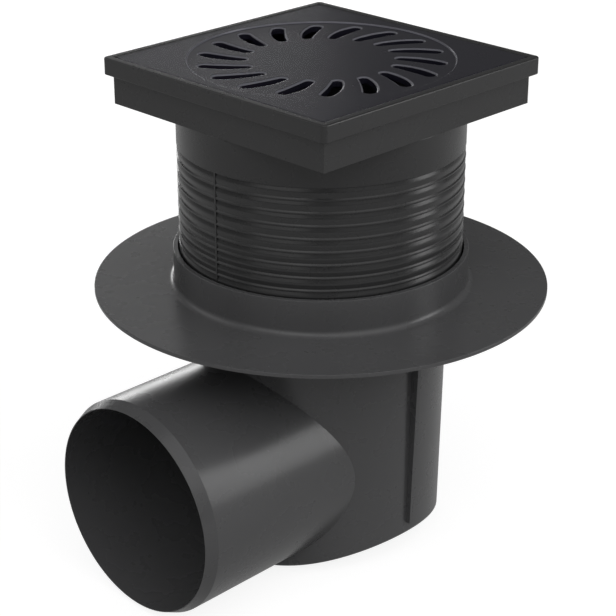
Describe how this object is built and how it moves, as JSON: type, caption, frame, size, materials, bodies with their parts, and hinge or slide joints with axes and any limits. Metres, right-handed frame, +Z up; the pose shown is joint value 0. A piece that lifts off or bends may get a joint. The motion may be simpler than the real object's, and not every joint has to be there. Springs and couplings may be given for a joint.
{
  "type": "gully trap",
  "caption": "Round floor drain with a square slotted grate, ribbed height-adjustable neck, sealing flange and side outlet.",
  "frame": {"origin": "the lowest point under the drain's upright axis, where its foot stands on the slab", "axes": "+Z up the drain's axis to the grate, -Y along the outlet pipe, +X to the side"},
  "size_m": [0.2294, 0.244, 0.2546],
  "materials": {
    "body_plastic": "satin near-black moulded polypropylene",
    "grate_plastic": "fine matte near-black moulded polypropylene",
    "seal_rubber": "black rubber",
    "trap_plastic": "satin dark moulded polypropylene"
  },
  "bodies": {
    "drain": {"drain_body": "body_plastic", "trap_seal": "seal_rubber", "trap_tube": "trap_plastic", "trap_cup": "trap_plastic"},
    "slider": {"neck_seal": "seal_rubber"},
    "head": {"neck": "body_plastic", "grate": "grate_plastic"}
  },
  "joints": [
    {"name": "height_slide", "type": "slide", "parent": "drain", "child": "slider", "axis": [0, 0, 1], "range_m": [-0.006, 0.018]},
    {"name": "neck_turn", "type": "hinge", "parent": "slider", "child": "head", "pos_m": [0, 0, 0.2], "axis": [0, 0, 1], "continuous": true}
  ]
}
